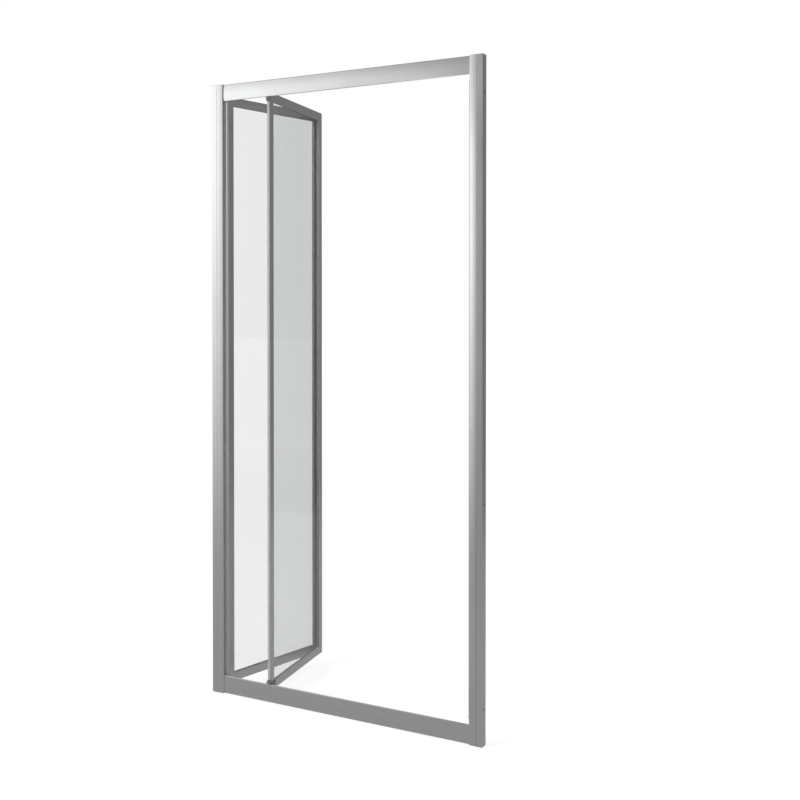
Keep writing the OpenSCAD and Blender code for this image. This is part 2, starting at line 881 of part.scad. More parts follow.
// A barrel of the centre hinge in plan, with the web that joins it to its stile
module barrel_section() {
    difference() {
        union() {
            circle(r = barrel_r, $fn = 2 * fine);
            translate([-barrel_r, 0])
                square([barrel_r - meeting_gap / 2, hinge_proud + lap]);
        }
        circle(r = hinge_pin_r + pin_play, $fn = fine);
    }
}

// Knuckle stile; first is 0 on the leaf that carries the outermost barrels and 1 on the other
module knuckle_stile(first) {
    end_relief = pin_head_h + barrel_gap;
    difference() {
        translate([0, 0, profile_foot])
            linear_extrude(profile_top - profile_foot)
                knuckle_stile_section();
        // room for the other leaf's barrels and for the heads of the pin
        for (i = [1 - first : 2 : barrel_count - 1])
            translate([arm, hinge_v, barrel_span(i)[0] - barrel_gap])
                cylinder(r = barrel_r + barrel_relief, h = barrel_pitch + barrel_gap, $fn = fine);
        for (z = [barrel_z0 - end_relief + barrel_gap / 2, barrel_z1 - barrel_gap / 2])
            translate([arm, hinge_v, z])
                cylinder(r = barrel_r + barrel_relief, h = end_relief, $fn = fine);
        if (first == 0)
            translate([leaf_end - seal_root_t, centre_seal_v - seal_play, profile_foot - cut])
                cube([seal_root_t + cut, centre_seal_w + 2 * seal_play, door_h]);
        for (level = leaf_screw_z)
            translate([leaf_head_u, 0, level])
                rotate([0, 90, 0]) {
                    cylinder(r = leaf_head_r + head_free, h = knuckle_stile_w, $fn = fine);
                    translate([0, 0, -knuckle_stile_w])
                        cylinder(r = leaf_screw_r + screw_free, h = knuckle_stile_w + cut, $fn = fine);
                }
    }
    for (i = [first : 2 : barrel_count - 1])
        translate([arm, hinge_v, barrel_span(i)[0]])
            linear_extrude(barrel_span(i)[1] - barrel_span(i)[0])
                barrel_section();
}

// Section of a leaf's rail in V and Z: glazing groove on top, chamber with two ports below
module leaf_rail_section() {
    web = 1.2;
    difference() {
        translate([-nose_r, 0])
            round_rect(leaf_t, leaf_rail_h, leaf_edge_r);
        translate([-glaze_w / 2, leaf_rail_h - glaze_depth])
            square([glaze_w, glaze_depth + cut]);
        difference() {
            translate([-glaze_w / 2, leaf_wall])
                square([glaze_w, leaf_chamber_h]);
            for (z = leaf_port_z) {
                translate([0, z])
                    circle(r = leaf_port_out_r, $fn = fine);
                translate([-glaze_w / 2, z - web / 2])
                    square([glaze_w, web]);
            }
        }
        for (z = leaf_port_z)
            translate([0, z])
                circle(r = leaf_port_r, $fn = fine);
    }
}

module leaf_rail(leaf, top) {
    slot_w = fin_t + 2 * seal_play;
    color(leaf_colour)
        at_leaf(leaf)
            translate([rail_u0, 0, top ? leaf_top : leaf_foot])
                mirror([0, 0, top ? 1 : 0])
                    difference() {
                        rotate([90, 0, 90])
                            linear_extrude(rail_u1 - rail_u0)
                                leaf_rail_section();
                        // slot for the drip seal
                        if (!top)
                            translate([-cut, -slot_w / 2, -cut])
                                cube([rail_u1 - rail_u0 + 2 * cut, slot_w, leaf_wall + 2 * cut]);
                    }
}

// Glazing: the pane, and the gasket that wraps its edge inside the grooves
glass_u0 = rail_u0 - glaze_depth + gasket_foot;
glass_u1 = rail_u1 + glaze_depth - gasket_foot;
glass_z0 = leaf_foot + leaf_rail_h - glaze_depth + gasket_foot;
glass_z1 = leaf_top - leaf_rail_h + glaze_depth - gasket_foot;

module leaf_glass(leaf) {
    color(glass_colour)
        at_leaf(leaf)
            translate([glass_u0, -glass_t / 2, glass_z0])
                cube([glass_u1 - glass_u0, glass_t, glass_z1 - glass_z0]);
}

module leaf_gasket(leaf) {
    show_u = [rail_u0 + gasket_show, rail_u1 - gasket_show];
    show_z = [leaf_foot + leaf_rail_h + gasket_show, leaf_top - leaf_rail_h - gasket_show];
    color(seal_colour)
        at_leaf(leaf)
            difference() {
                translate([glass_u0 - gasket_foot, -glaze_w / 2, glass_z0 - gasket_foot])
                    cube([glass_u1 - glass_u0 + 2 * gasket_foot, glaze_w,
                          glass_z1 - glass_z0 + 2 * gasket_foot]);
                translate([glass_u0, -glass_t / 2, glass_z0])
                    cube([glass_u1 - glass_u0, glass_t, glass_z1 - glass_z0]);
                translate([show_u[0], -leaf_t, show_z[0]])
                    cube([show_u[1] - show_u[0], 2 * leaf_t, show_z[1] - show_z[0]]);
            }
}

// Moulded caps on the open ends of both stiles
module end_caps(leaf) {
    color(black_colour)
        at_leaf(leaf)
            for (z = [leaf_foot, leaf_top - end_cap_t])
                translate([0, 0, z])
                    linear_extrude(end_cap_t) {
                        difference() {
                            union() {
                                circle(r = nose_r, $fn = 2 * fine);
                                translate([0, -nose_r])
                                    square([stile_w, leaf_t]);
                            }
                            circle(r = pin_r + screw_free, $fn = fine);
                        }
                        translate([leaf_end - knuckle_stile_w, -nose_r])
                            square([knuckle_stile_w, leaf_t]);
                    }
}

// Screws that hold the rails between the stiles
module leaf_screws(leaf) {
    color(steel_colour)
        at_leaf(leaf)
            for (level = leaf_screw_z) {
                translate([chamber_u, 0, level])
                    rotate([0, 90, 0])
                        pan_screw(leaf_screw_r, leaf_head_r, leaf_head_h,
                                  leaf_wall + glaze_depth + screw_grip);
                translate([leaf_head_u, 0, level])
                    rotate([0, -90, 0])
                        pan_screw(leaf_screw_r, leaf_head_r, leaf_head_h,
                                  leaf_head_u - rail_u1 + screw_grip);
            }
}

// Soft fin under the bottom rail, held by a flat root in the rail's chamber
module drip_seal(leaf) {
    color(seal_colour)
        at_leaf(leaf)
            translate([rail_u0, 0, leaf_foot]) {
                translate([0, -fin_t / 2, fin_gap - leaf_foot_gap])
                    cube([rail_u1 - rail_u0, fin_t, leaf_foot_gap - fin_gap + leaf_wall + drip_root_t]);
                translate([0, -seal_root_w / 2, leaf_wall])
                    cube([rail_u1 - rail_u0, seal_root_w, drip_root_t]);
            }
}

module leaf_stile(leaf, hinge_side) {
    slot_w = seal_slot + 2 * seal_play;
    color(leaf_colour)
        at_leaf(leaf) {
            if (hinge_side)
                knuckle_stile(leaf == "hinge" ? 0 : 1);
            else if (leaf == "hinge")
                nose_stile();
            else
                difference() {
                    nose_stile();
                    // slot in the nose for the magnetic strip
                    translate([-nose_r - cut, -slot_w / 2, seal_foot - seal_play])
                        cube([leaf_wall + 2 * cut, slot_w, seal_top - seal_foot + 2 * seal_play]);
                }
        }
}

// ---------------------------------------------------------------- centre hinge fittings

module centre_hinge_pin() {
    // radii of the domed heads, where they meet the barrels and at their ends
    foot_r = barrel_r * 0.93;
    top_r = barrel_r * 0.7;
    color(steel_colour)
        at_leaf("hinge")
            translate([arm, hinge_v, 0]) {
                translate([0, 0, barrel_z0])
                    cylinder(r = hinge_pin_r, h = barrel_z1 - barrel_z0, $fn = fine);
                translate([0, 0, barrel_z1])
                    cylinder(r1 = foot_r, r2 = top_r, h = pin_head_h, $fn = fine);
                translate([0, 0, barrel_z0 - pin_head_h])
                    cylinder(r1 = top_r, r2 = foot_r, h = pin_head_h, $fn = fine);
            }
}

module centre_hinge_washers() {
    color(nylon_colour)
        at_leaf("hinge")
            for (i = [1 : barrel_count - 1])
                translate([arm, hinge_v, barrel_z0 + i * barrel_pitch - washer_t / 2])
                    difference() {
                        cylinder(r = barrel_r, h = washer_t, $fn = fine);
                        translate([0, 0, -cut])
                            cylinder(r = hinge_pin_r + pin_play, h = washer_t + 2 * cut, $fn = fine);
                    }
}

// Soft strip in the end face of the hinge leaf, closing the gap between the leaves
module centre_seal() {
    color(seal_colour)
        at_leaf("hinge")
            translate([leaf_end - seal_root_t, centre_seal_v, barrel_z0])
                cube([seal_root_t + meeting_gap - centre_seal_gap, centre_seal_w, barrel_z1 - barrel_z0]);
}

// ---------------------------------------------------------------- seals and bumpers

// Fin seal in the hinge post, reaching to the nose of the pivot stile
module hinge_seal() {
    color(seal_colour)
        at_jamb("left")
            translate([0, 0, sill_h + seal_end_gap])
                linear_extrude(header_foot - sill_h - 2 * seal_end_gap) {
                    translate([jamb_w - post_t - seal_root_t, pivot_y - seal_root_w / 2])
                        square([seal_root_t, seal_root_w]);
                    translate([jamb_w - post_t - seal_root_t, pivot_y - fin_t / 2])
                        square([seal_root_t + post_t + hinge_gap - fin_gap, fin_t]);
                }
}

// Magnetic strip: a box section with a core, on a root that slides into its groove
module strike_seal() {
    color(seal_colour)
        at_jamb("right")
            translate([0, 0, seal_foot])
                linear_extrude(seal_top - seal_foot) {
                    translate([jamb_w - post_t - seal_root_t, pivot_y - seal_root_w / 2])
                        square([seal_root_t, seal_root_w]);
                    translate([jamb_w - post_t - seal_root_t, pivot_y - seal_slot / 2])
                        square([seal_root_t + post_t + strike_seal_t / 2, seal_slot]);
                    translate([jamb_w, pivot_y - seal_w / 2])
                        round_rect(strike_seal_t, seal_w, seal_edge_r);
                }
}

// Magnetic strip on the lead stile, hollowed to fit the nose, with a T-shaped root in its slot
module lead_seal() {
    wing = 2;
    root_u = -sqrt(nose_inner_r * nose_inner_r - seal_root_w * seal_root_w / 4) + seal_play;
    color(seal_colour)
        at_leaf("lead")
            translate([0, 0, seal_foot])
                linear_extrude(seal_top - seal_foot) {
                    difference() {
                        translate([-nose_r - lead_seal_t, -seal_w / 2])
                            round_rect(nose_r + lead_seal_t, seal_w, seal_edge_r);
                        circle(r = nose_r, $fn = 2 * fine);
                        translate([-nose_r + wing, -seal_w])
                            square([nose_r, 2 * seal_w]);
                    }
                    translate([-nose_r - seal_root_t / 2, -seal_slot / 2])
                        square([nose_r + root_u + seal_root_t, seal_slot]);
                    translate([root_u, -seal_root_w / 2])
                        square([seal_root_t, seal_root_w]);
                }
}

// Closing bumper: a block that clips over the nose and tapers along the stile. It is proud of the
// leaf's inner face by inner.
module bumper(height, taper, inner) {
    reach = guide_inset - bumper_gap;
    wing = 2;
    difference() {
        translate([0, nose_r + inner, 0])
            rotate([90, 0, 0])
                linear_extrude(leaf_t + inner)
                    polygon([[-nose_r + wing, 0], [-nose_r + wing, height], [-reach, height],
                             [-reach, taper], [-nose_r - wing, 0]]);
        translate([0, 0, -cut])
            cylinder(r = nose_r + bumper_play, h = height + 2 * cut, $fn = 2 * fine);
    }
}

module lead_bumper_top() {
    color(black_colour)
        at_leaf("lead")
            translate([0, 0, bumper_top - top_bumper_h])
                bumper(top_bumper_h, top_bumper_h / 2, 0);
}

// Lower bumper, with a guard plate that covers the foot of the stile on the leaf's inner face
module lead_bumper_bottom() {
    inner = bumper_play + guard_t;
    guard_u = -nose_r + bumper_play;
    guard_foot = profile_foot;
    guard_top = leaf_foot + leaf_rail_h;
    color(black_colour)
        at_leaf("lead") {
            translate([0, 0, bumper_foot + foot_bumper_h])
                mirror([0, 0, 1])
                    bumper(foot_bumper_h, foot_bumper_h / 3, inner);
            translate([guard_u, nose_r + bumper_play, guard_top])
                rotate([-90, 0, 0])
                    linear_extrude(guard_t)
                        round_rect(guard_l, guard_top - guard_foot, guard_edge_r);
        }
}

// ---------------------------------------------------------------- assembly

wall_channel("left");  // wall_channel_left
wall_channel("right");  // wall_channel_right
post("left");  // hinge_post
post("right");  // strike_post
header_rail();
sill_rail();
top_cap("left");  // top_cap_left
top_cap("right");  // top_cap_right
frame_screws();
post_screws("left");  // post_screws_left
post_screws("right");  // post_screws_right
screw_covers("left");  // screw_covers_left
screw_covers("right");  // screw_covers_right
top_pivot_block();
bottom_pivot_block();
pivot_block_screws();
thrust_washer();
open_stops();
hinge_seal();
strike_seal();
leaf_stile("hinge", false);  // hinge_leaf_pivot_stile
leaf_stile("hinge", true);  // hinge_leaf_knuckle_stile
leaf_rail("hinge", true);  // hinge_leaf_top_rail
leaf_rail("hinge", false);  // hinge_leaf_bottom_rail
leaf_glass("hinge");  // hinge_leaf_glass
leaf_gasket("hinge");  // hinge_leaf_gasket
end_caps("hinge");  // hinge_leaf_end_caps
leaf_screws("hinge");  // hinge_leaf_screws
drip_seal("hinge");  // hinge_leaf_drip_seal
top_pivot_pin();
bottom_pivot_pin();
centre_hinge_pin();
centre_hinge_washers();
centre_seal();
leaf_stile("lead", false);  // lead_leaf_lead_stile
leaf_stile("lead", true);  // lead_leaf_knuckle_stile
leaf_rail("lead", true);  // lead_leaf_top_rail
leaf_rail("lead", false);  // lead_leaf_bottom_rail
leaf_glass("lead");  // lead_leaf_glass
leaf_gasket("lead");  // lead_leaf_gasket
end_caps("lead");  // lead_leaf_end_caps
leaf_screws("lead");  // lead_leaf_screws
drip_seal("lead");  // lead_leaf_drip_seal
top_guide_pin();
bottom_guide_pin();
lead_seal();
lead_bumper_top();
lead_bumper_bottom();
top_guide_shoe();
bottom_guide_shoe();
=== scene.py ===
"""Bifold shower door for a recess: finishes, soft parts and studio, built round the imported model."""
import bpy
import bmesh
import json
import math
from mathutils import Matrix, Vector


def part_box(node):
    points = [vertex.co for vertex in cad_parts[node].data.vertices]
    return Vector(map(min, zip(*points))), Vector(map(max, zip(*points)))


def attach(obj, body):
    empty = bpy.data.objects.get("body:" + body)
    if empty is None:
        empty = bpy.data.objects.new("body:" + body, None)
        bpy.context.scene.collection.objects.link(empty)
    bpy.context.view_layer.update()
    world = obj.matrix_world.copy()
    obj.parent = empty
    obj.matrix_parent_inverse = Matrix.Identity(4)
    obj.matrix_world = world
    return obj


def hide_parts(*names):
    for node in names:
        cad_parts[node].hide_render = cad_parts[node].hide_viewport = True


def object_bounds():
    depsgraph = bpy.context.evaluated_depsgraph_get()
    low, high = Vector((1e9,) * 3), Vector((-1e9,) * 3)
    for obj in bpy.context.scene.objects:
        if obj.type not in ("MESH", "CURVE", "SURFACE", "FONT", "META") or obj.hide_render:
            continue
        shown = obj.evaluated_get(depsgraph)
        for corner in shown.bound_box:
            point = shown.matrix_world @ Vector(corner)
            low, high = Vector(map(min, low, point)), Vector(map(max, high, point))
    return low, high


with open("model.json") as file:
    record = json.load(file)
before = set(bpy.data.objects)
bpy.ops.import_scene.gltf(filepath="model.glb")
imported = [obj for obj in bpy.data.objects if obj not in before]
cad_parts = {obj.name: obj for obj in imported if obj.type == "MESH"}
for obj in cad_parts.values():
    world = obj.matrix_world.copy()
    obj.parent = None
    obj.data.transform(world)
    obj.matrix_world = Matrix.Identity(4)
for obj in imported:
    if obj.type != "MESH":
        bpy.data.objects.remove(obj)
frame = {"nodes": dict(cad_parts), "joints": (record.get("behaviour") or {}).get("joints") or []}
cad_low, cad_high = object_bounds()
parts = frame["nodes"]
scene = bpy.context.scene


# ---------------------------------------------------------------- camera
# Stands outside the shower, to the right of the opening and at chest height, and looks almost
# level. A shift of the lens frames the door, so its uprights stay nearly parallel.
camera_place = (1.6761, -2.7422, 1.1827)
camera_tilt = math.radians(-0.77)
camera_turn = math.radians(29.35)
camera_data = bpy.data.cameras.new("camera")
camera_data.lens = 50.51
camera_data.sensor_width = 36
camera_data.shift_x = 0.0237
camera_data.shift_y = -0.0999
camera = bpy.data.objects.new("camera", camera_data)
camera.location = camera_place
camera.rotation_euler = (math.radians(90) + camera_tilt, 0, camera_turn)
scene.collection.objects.link(camera)
scene.camera = camera


# ---------------------------------------------------------------- jambs, header and threshold
# Extruded aluminium, satin anodised in natural silver. The die leaves faint lines along each
# length, and hands leave faint smudges that show as a change of gloss.
def add_node(tree, kind, inputs, **settings):
    """A shader node. Each input is a value, or a socket to link."""
    made = tree.nodes.new(kind)
    for name, value in settings.items():
        setattr(made, name, value)
    for name, value in inputs.items():
        if isinstance(value, bpy.types.NodeSocket):
            tree.links.new(value, made.inputs[name])
        else:
            made.inputs[name].default_value = value
    return made


def new_group(name, inputs, outputs):
    """A shader node group, its input node and its output node."""
    tree = bpy.data.node_groups.new(name, "ShaderNodeTree")
    for label, kind in inputs:
        tree.interface.new_socket(label, in_out="INPUT", socket_type=kind)
    for label, kind in outputs:
        tree.interface.new_socket(label, in_out="OUTPUT", socket_type=kind)
    return tree, tree.nodes.new("NodeGroupInput"), tree.nodes.new("NodeGroupOutput")


# Drawn finish: the vector's Z runs along the extrusion, in metres
drawn, drawn_in, drawn_out = new_group(
    "drawn_finish",
    [("Vector", "NodeSocketVector"), ("Tint", "NodeSocketColor"), ("Gloss", "NodeSocketFloat"),
     ("Smudges", "NodeSocketFloat")],
    [("Color", "NodeSocketColor"), ("Roughness", "NodeSocketFloat"), ("Height", "NodeSocketFloat")])
line_map = add_node(drawn, "ShaderNodeMapping",
                    {"Vector": drawn_in.outputs["Vector"], "Scale": (1500, 1500, 2.5)})
die_lines = add_node(drawn, "ShaderNodeTexNoise",
                     {"Vector": line_map.outputs["Vector"], "Scale": 1, "Detail": 3, "Roughness": 0.6})
band_map = add_node(drawn, "ShaderNodeMapping",
                    {"Vector": drawn_in.outputs["Vector"], "Scale": (170, 170, 0.8)})
die_bands = add_node(drawn, "ShaderNodeTexNoise",
                     {"Vector": band_map.outputs["Vector"], "Scale": 1, "Detail": 2})
smudge = add_node(drawn, "ShaderNodeTexNoise",
                  {"Vector": drawn_in.outputs["Vector"], "Scale": 9, "Detail": 4, "Roughness": 0.62})
smudge_mask = add_node(drawn, "ShaderNodeMapRange",
                       {"Value": smudge.outputs["Fac"], "From Min": 0.48, "From Max": 0.74})
band_shade = add_node(drawn, "ShaderNodeMapRange",
                      {"Value": die_bands.outputs["Fac"], "From Min": 0.3, "From Max": 0.7,
                       "To Min": 0.965, "To Max": 1.0})
shaded = add_node(drawn, "ShaderNodeVectorMath",
                  {0: drawn_in.outputs["Tint"], 1: band_shade.outputs["Result"]}, operation="MULTIPLY")
drawn.links.new(shaded.outputs["Vector"], drawn_out.inputs["Color"])
band_gloss = add_node(drawn, "ShaderNodeMath",
                      {0: die_bands.outputs["Fac"], 1: 0.05, 2: drawn_in.outputs["Gloss"]},
                      operation="MULTIPLY_ADD")
smudge_amount = add_node(drawn, "ShaderNodeMath",
                         {0: smudge_mask.outputs["Result"], 1: drawn_in.outputs["Smudges"]},
                         operation="MULTIPLY")
full_gloss = add_node(drawn, "ShaderNodeMath",
                      {0: band_gloss.outputs["Value"], 1: smudge_amount.outputs["Value"]}, operation="ADD")
drawn.links.new(full_gloss.outputs["Value"], drawn_out.inputs["Roughness"])
drawn.links.new(die_lines.outputs["Fac"], drawn_out.inputs["Height"])


def drawn_metal(name, tint, run_turn=(0, 0, 0), gloss=0.27, smudges=0.05):
    """Satin anodised aluminium whose die lines run along Z once the part is turned by run_turn."""
    finish = bpy.data.materials.new(name)
    finish.use_nodes = True
    tree = finish.node_tree
    coords = add_node(tree, "ShaderNodeTexCoord", {})
    along = add_node(tree, "ShaderNodeMapping", {"Vector": coords.outputs["Object"], "Rotation": run_turn})
    look = add_node(tree, "ShaderNodeGroup", {}, node_tree=drawn)
    tree.links.new(along.outputs["Vector"], look.inputs["Vector"])
    look.inputs["Tint"].default_value = (*tint, 1)
    look.inputs["Gloss"].default_value = gloss
    look.inputs["Smudges"].default_value = smudges
    bump = add_node(tree, "ShaderNodeBump", {"Height": look.outputs["Height"], "Strength": 0.12,
                                             "Distance": 0.00004})
    shader = tree.nodes["Principled BSDF"]
    shader.inputs["Metallic"].default_value = 1
    tree.links.new(look.outputs["Color"], shader.inputs["Base Color"])
    tree.links.new(look.outputs["Roughness"], shader.inputs["Roughness"])
    tree.links.new(bump.outputs["Normal"], shader.inputs["Normal"])
    return finish


def dress(finish, *nodes):
    """Gives CAD nodes their finish."""
    for node in nodes:
        parts[node].data.materials.clear()
        parts[node].data.materials.append(finish)


silver = (0.80, 0.815, 0.80)
quarter = math.radians(90)
dress(drawn_metal("silver_upright", silver),
      "wall_channel_left", "wall_channel_right", "hinge_post", "strike_post")
dress(drawn_metal("silver_across", silver, (0, quarter, 0)), "header_rail", "sill_rail")


# ---------------------------------------------------------------- jamb caps, end caps and stops
# Injection-moulded parts with a fine spark-eroded texture: silver grey on the jambs, black
# nylon on the leaves' ends, the thrust washer and the open stops, slate grey on the bumpers.
moulded, moulded_in, moulded_out = new_group(
    "moulded_finish",
    [("Vector", "NodeSocketVector"), ("Tint", "NodeSocketColor"), ("Gloss", "NodeSocketFloat"),
     ("Grain Size", "NodeSocketFloat")],
    [("Color", "NodeSocketColor"), ("Roughness", "NodeSocketFloat"), ("Height", "NodeSocketFloat")])
spark = add_node(moulded, "ShaderNodeTexNoise",
                 {"Vector": moulded_in.outputs["Vector"], "Scale": moulded_in.outputs["Grain Size"],
                  "Detail": 2})
flow = add_node(moulded, "ShaderNodeTexNoise",
                {"Vector": moulded_in.outputs["Vector"], "Scale": 60, "Detail": 3})
flow_shade = add_node(moulded, "ShaderNodeMapRange",
                      {"Value": flow.outputs["Fac"], "From Min": 0.3, "From Max": 0.7,
                       "To Min": 0.9, "To Max": 1.06})
moulded_tint = add_node(moulded, "ShaderNodeVectorMath",
                        {0: moulded_in.outputs["Tint"], 1: flow_shade.outputs["Result"]},
                        operation="MULTIPLY")
moulded.links.new(moulded_tint.outputs["Vector"], moulded_out.inputs["Color"])
moulded_gloss = add_node(moulded, "ShaderNodeMath",
                         {0: flow.outputs["Fac"], 1: 0.12, 2: moulded_in.outputs["Gloss"]},
                         operation="MULTIPLY_ADD")
moulded.links.new(moulded_gloss.outputs["Value"], moulded_out.inputs["Roughness"])
moulded.links.new(spark.outputs["Fac"], moulded_out.inputs["Height"])


def moulded_plastic(name, tint, gloss=0.4, grain=2600, depth=0.00003, sheen=0.0):
    """Moulded plastic or rubber with a fine even grain."""
    finish = bpy.data.materials.new(name)
    finish.use_nodes = True
    tree = finish.node_tree
    coords = add_node(tree, "ShaderNodeTexCoord", {})
    look = add_node(tree, "ShaderNodeGroup", {}, node_tree=moulded)
    tree.links.new(coords.outputs["Object"], look.inputs["Vector"])
    look.inputs["Tint"].default_value = (*tint, 1)
    look.inputs["Gloss"].default_value = gloss
    look.inputs["Grain Size"].default_value = grain
    bump = add_node(tree, "ShaderNodeBump", {"Height": look.outputs["Height"], "Strength": 0.35,
                                             "Distance": depth})
    shader = tree.nodes["Principled BSDF"]
    shader.inputs["Sheen Weight"].default_value = sheen
    tree.links.new(look.outputs["Color"], shader.inputs["Base Color"])
    tree.links.new(look.outputs["Roughness"], shader.inputs["Roughness"])
    tree.links.new(bump.outputs["Normal"], shader.inputs["Normal"])
    return finish


weld = 0.000001
crease = math.radians(32)


def finished_piece(mesh_work, name, body, slot, finish, *replaced):
    """Turns a bmesh into a piece that rides on a body and stands for CAD nodes."""
    bmesh.ops.remove_doubles(mesh_work, verts=mesh_work.verts, dist=weld)
    bmesh.ops.recalc_face_normals(mesh_work, faces=mesh_work.faces)
    mesh = bpy.data.meshes.new(name)
    mesh_work.to_mesh(mesh)
    mesh_work.free()
    mesh.shade_smooth()
    mesh.set_sharp_from_angle(angle=crease)
    mesh.materials.append(finish)
    piece = bpy.data.objects.new(name, mesh)
    scene.collection.objects.link(piece)
    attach(piece, body)
    if replaced:
        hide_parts(*replaced)
    return piece


def softened(node, body, slot, finish, edge):
    """A merged copy of a CAD node whose sharp outer edges are rounded, as a mould rounds them."""
    facet_weld = 0.00003
    flat = math.radians(0.5)
    corner = math.radians(40)
    work = bmesh.new()
    work.from_mesh(parts[node].data)
    bmesh.ops.remove_doubles(work, verts=work.verts, dist=facet_weld)
    bmesh.ops.dissolve_limit(work, angle_limit=flat, verts=work.verts, edges=work.edges)
    bmesh.ops.recalc_face_normals(work, faces=work.faces)
    sharp = [side for side in work.edges if side.is_convex and side.calc_face_angle(0) > corner]
    bmesh.ops.bevel(work, geom=sharp, offset=edge, segments=2, affect="EDGES", profile=0.5,
                    material=-1, clamp_overlap=False)
    finished_piece(work, node + "_moulding", body, slot, finish, node)


cap_grey = moulded_plastic("cap_grey", (0.44, 0.45, 0.445))
black_nylon = moulded_plastic("black_nylon", (0.028, 0.028, 0.030), gloss=0.36)
slate_nylon = moulded_plastic("slate_nylon", (0.115, 0.117, 0.117), gloss=0.42)
fine_edge = 0.0002
mould_edge = 0.0003
for node in ("top_cap_left", "top_cap_right"):
    softened(node, "frame", "grey_plastic", cap_grey, fine_edge)
for node in ("thrust_washer", "open_stops"):
    softened(node, "frame", "black_nylon", black_nylon, fine_edge)
for leaf in ("hinge", "lead"):
    softened(leaf + "_leaf_end_caps", leaf + "_leaf", "black_nylon", black_nylon, mould_edge)
for node in ("lead_bumper_top", "lead_bumper_bottom"):
    softened(node, "lead_leaf", "black_nylon", slate_nylon, mould_edge)


# ---------------------------------------------------------------- pivots, guides and covers
# Natural nylon: bearing blocks at the foot and head of the hinge post, shoes that slide in the
# tracks, and washers between the hinge barrels. Grey domed covers go over the screws of the posts.
natural_nylon = moulded_plastic("natural_nylon", (0.74, 0.73, 0.69), gloss=0.3, depth=0.00002)
for node, body in (("top_pivot_block", "frame"), ("bottom_pivot_block", "frame"),
                   ("top_guide_shoe", "top_shoe"), ("bottom_guide_shoe", "bottom_shoe")):
    softened(node, body, "white_nylon", natural_nylon, mould_edge)
washer_edge = 0.00015
softened("centre_hinge_washers", "hinge_leaf", "white_nylon", natural_nylon, washer_edge)


def join_into(target, source):
    """Moves a bmesh's geometry into another one."""
    made = bpy.data.meshes.new("part")
    source.to_mesh(made)
    source.free()
    target.from_mesh(made)
    bpy.data.meshes.remove(made)


def snap_covers(side):
    """Three domed covers, each turned from half its outline and pushed over a screw head."""
    node = "screw_covers_" + side
    low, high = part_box(node)
    cover_r = (high.x - low.x) / 2
    cover_h = high.y - low.y
    middle_x = (low.x + high.x) / 2
    rim = 0.0006
    dome = 0.0014
    dome_steps = 8
    turn_steps = 40
    covers = bmesh.new()
    for height in (low.z + cover_r, (low.z + high.z) / 2, high.z - cover_r):
        cover = bmesh.new()
        outline = [(cover_r, 0), (cover_r, rim), (cover_r - rim, 2 * rim)]
        for step in range(dome_steps + 1):
            swing = quarter * step / dome_steps
            outline.append(((cover_r - 2 * rim) * math.cos(swing),
                            cover_h - dome + dome * math.sin(swing)))
        ring = [cover.verts.new((r, y, 0)) for r, y in outline]
        edges = [cover.edges.new(pair) for pair in zip(ring, ring[1:])]
        bmesh.ops.spin(cover, geom=ring + edges, cent=(0, 0, 0), axis=(0, 1, 0), dvec=(0, 0, 0),
                       angle=2 * math.pi, steps=turn_steps, use_merge=True, use_duplicate=False)
        bmesh.ops.remove_doubles(cover, verts=cover.verts, dist=weld)
        bmesh.ops.holes_fill(cover, edges=cover.edges, sides=0)
        bmesh.ops.translate(cover, verts=cover.verts, vec=(middle_x, low.y, height))
        join_into(covers, cover)
    finished_piece(covers, "snap_covers_" + side, "frame", "grey_plastic", cap_grey, node)


for side in ("left", "right"):
    snap_covers(side)


# ---------------------------------------------------------------- pins and screws
# Stainless steel, turned or cold-headed, with fine rings round the axis of each one. The pins
# carry the pivots, guides and hinge, and the screws hold the corners, posts and pivot blocks.
def turned_steel(name, run_turn=(0, 0, 0)):
    """Plain steel with rings round Z once the part is turned by run_turn."""
    finish = bpy.data.materials.new(name)
    finish.use_nodes = True
    tree = finish.node_tree
    coords = add_node(tree, "ShaderNodeTexCoord", {})
    along = add_node(tree, "ShaderNodeMapping",
                     {"Vector": coords.outputs["Object"], "Rotation": run_turn, "Scale": (40, 40, 3200)})
    rings = add_node(tree, "ShaderNodeTexNoise", {"Vector": along.outputs["Vector"], "Scale": 1,
                                                  "Detail": 2})
    gloss = add_node(tree, "ShaderNodeMapRange", {"Value": rings.outputs["Fac"], "To Min": 0.18,
                                                  "To Max": 0.36})
    shade = add_node(tree, "ShaderNodeMix", {0: rings.outputs["Fac"], 6: (0.55, 0.55, 0.56, 1),
                                             7: (0.66, 0.66, 0.67, 1)}, data_type="RGBA")
    bump = add_node(tree, "ShaderNodeBump", {"Height": rings.outputs["Fac"], "Strength": 0.2,
                                             "Distance": 0.00002})
    shader = tree.nodes["Principled BSDF"]
    shader.inputs["Metallic"].default_value = 1
    tree.links.new(shade.outputs[2], shader.inputs["Base Color"])
    tree.links.new(gloss.outputs["Result"], shader.inputs["Roughness"])
    tree.links.new(bump.outputs["Normal"], shader.inputs["Normal"])
    return finish


dress(turned_steel("turned_steel"), "top_pivot_pin", "bottom_pivot_pin", "top_guide_pin",
      "bottom_guide_pin", "centre_hinge_pin", "pivot_block_screws")
dress(turned_steel("screw_steel_across", (0, quarter, 0)), "frame_screws", "hinge_leaf_screws",
      "lead_leaf_screws")
dress(turned_steel("screw_steel_through", (quarter, 0, 0)), "post_screws_left", "post_screws_right")


# ---------------------------------------------------------------- leaf frames
# The same anodised aluminium in thin tubes. The stiles' lines run upright, and the rails' lines
# run along each leaf, which stands folded at the angle of its joint.
joints = {joint["name"]: joint for joint in frame["joints"]}
lean = -math.radians(joints["fold"]["range_deg"][0])
pivot = Vector(joints["fold"]["pos_m"])
pivot.z = 0
guide = Vector(joints["top_guide_swivel"]["pos_m"])
guide.z = 0
